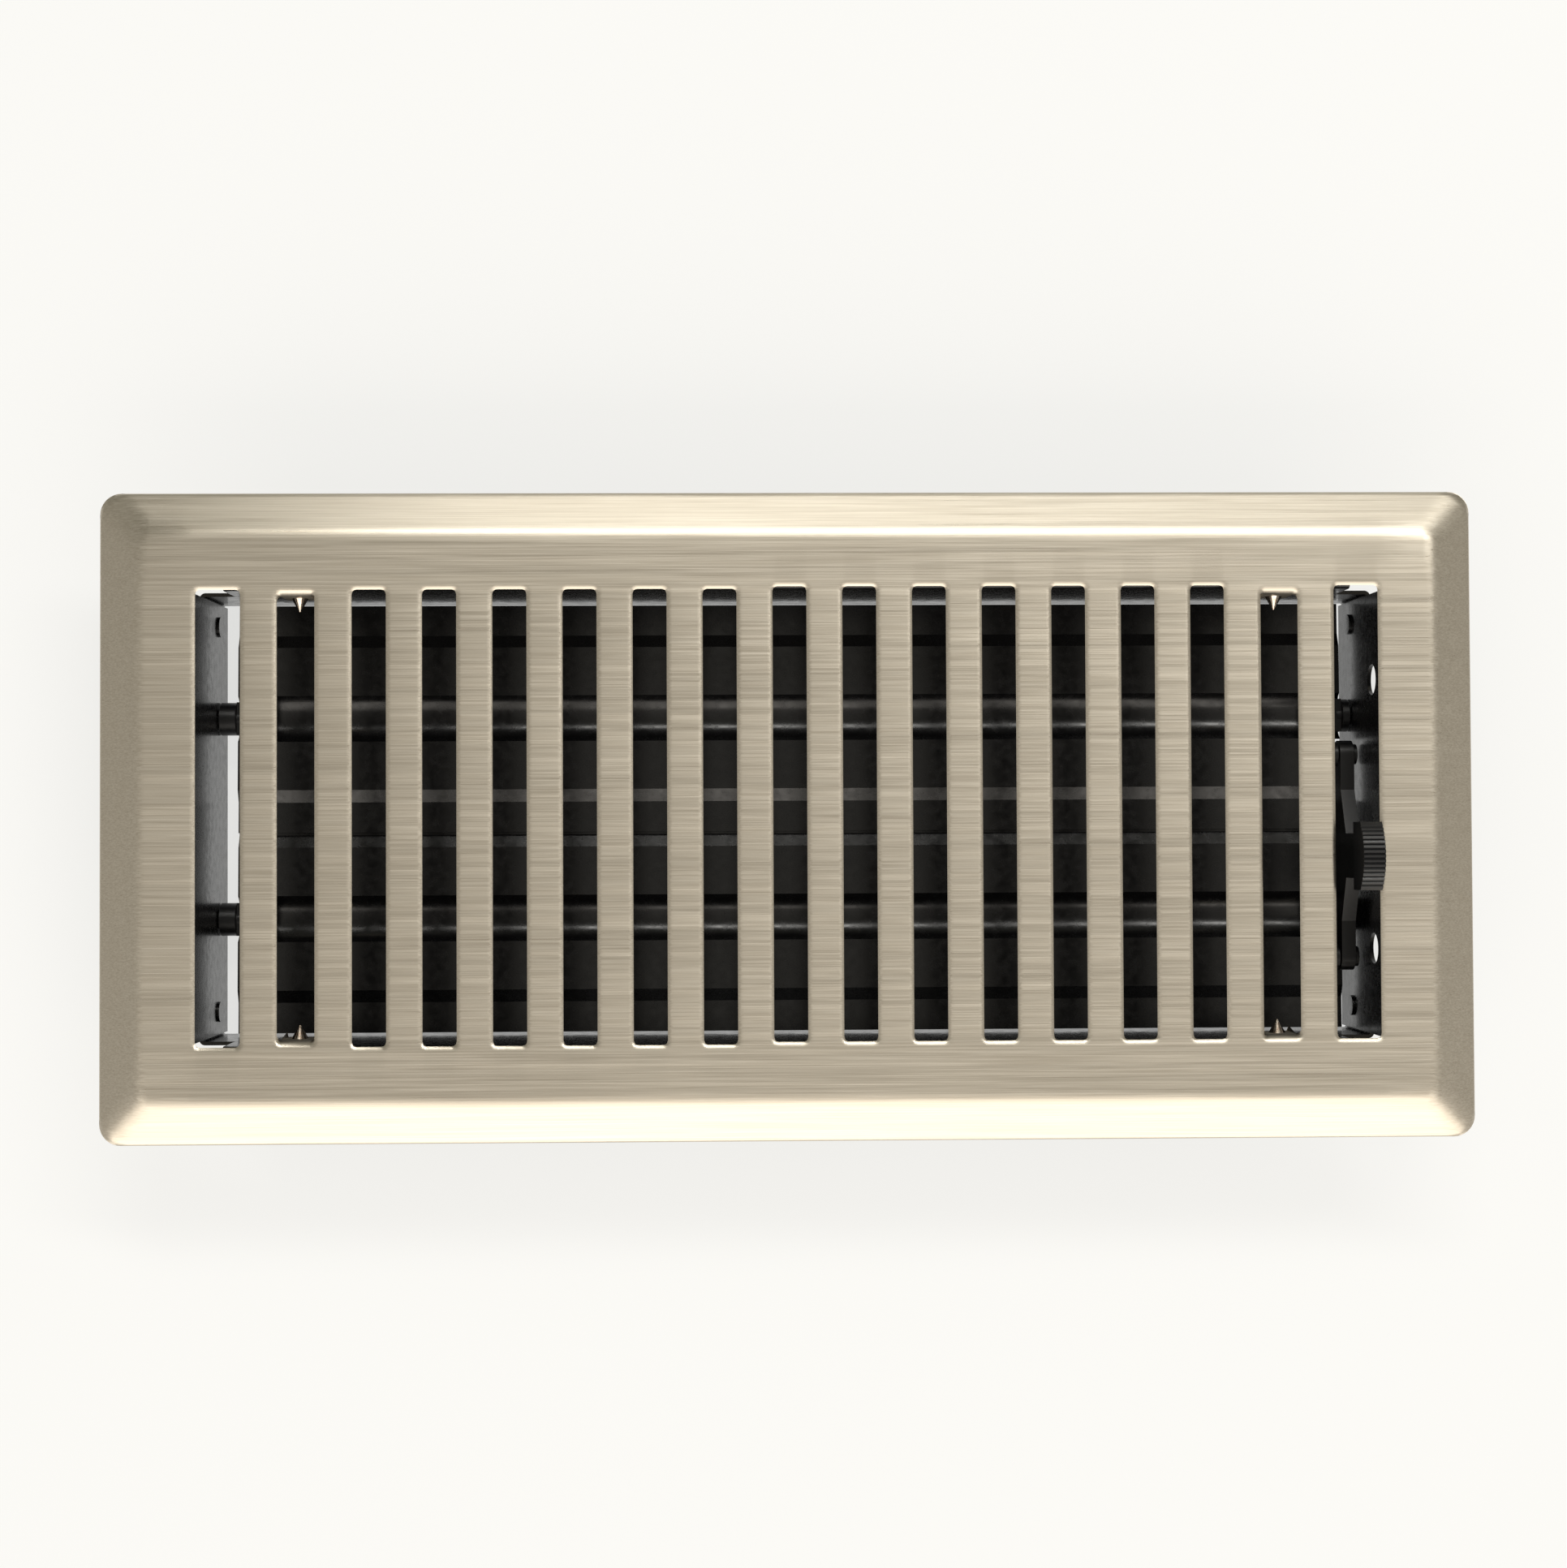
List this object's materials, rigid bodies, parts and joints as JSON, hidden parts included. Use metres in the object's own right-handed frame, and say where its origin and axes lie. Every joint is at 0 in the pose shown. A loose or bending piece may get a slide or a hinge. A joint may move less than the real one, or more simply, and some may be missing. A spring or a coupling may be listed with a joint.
{
  "type": "floor air register",
  "caption": "Slotted pressed faceplate of brushed nickel plated steel over a black damper box with coupled louvre blades and a thumb link.",
  "frame": {"origin": "middle of the faceplate's outline, at the height of the damper box's deep edge", "axes": "+X along the faceplate towards the thumb piece's end, +Y across it, +Z out of the face"},
  "size_m": [0.289, 0.1366, 0.0406],
  "materials": {
    "brushed_nickel": "satin nickel plate, brushed along its length",
    "black_enamel": "satin black enamel on sheet steel",
    "black_plastic": "moulded black plastic",
    "plated_screw": "bright plated steel"
  },
  "bodies": {
    "housing": {"faceplate": "brushed_nickel", "back_side_wall": "black_enamel", "front_side_wall": "black_enamel", "left_end_wall": "black_enamel", "right_end_wall": "black_enamel", "back_left_screw": "plated_screw", "back_right_screw": "plated_screw", "front_left_screw": "plated_screw", "front_right_screw": "plated_screw", "back_left_rivet": "black_enamel", "back_right_rivet": "black_enamel", "front_left_rivet": "black_enamel", "front_right_rivet": "black_enamel"},
    "back_damper": {"back_blade": "black_enamel", "back_left_pivot": "black_plastic", "back_crank": "black_plastic"},
    "front_damper": {"front_blade": "black_enamel", "front_left_pivot": "black_plastic", "front_crank": "black_plastic"},
    "thumb_bar": {"thumb_link": "black_plastic"}
  },
  "joints": [
    {"name": "back_blade_turn", "type": "hinge", "parent": "housing", "child": "back_damper", "pos_m": [0, 0.02195, 0.007], "axis": [-1, 0, 0], "range_deg": [0, 88]},
    {"name": "front_blade_turn", "type": "hinge", "parent": "housing", "child": "front_damper", "pos_m": [0, -0.02195, 0.007], "axis": [-1, 0, 0], "range_deg": [0, 88]},
    {"name": "link_swing", "type": "hinge", "parent": "back_damper", "child": "thumb_bar", "pos_m": [0.1211, 0.01304, 0.01591], "axis": [-1, 0, 0], "range_deg": [-88, 0]}
  ],
  "couplings": [
    {"joint": "front_blade_turn", "follows": "back_blade_turn", "ratio": 1},
    {"joint": "link_swing", "follows": "back_blade_turn", "ratio": -1}
  ]
}
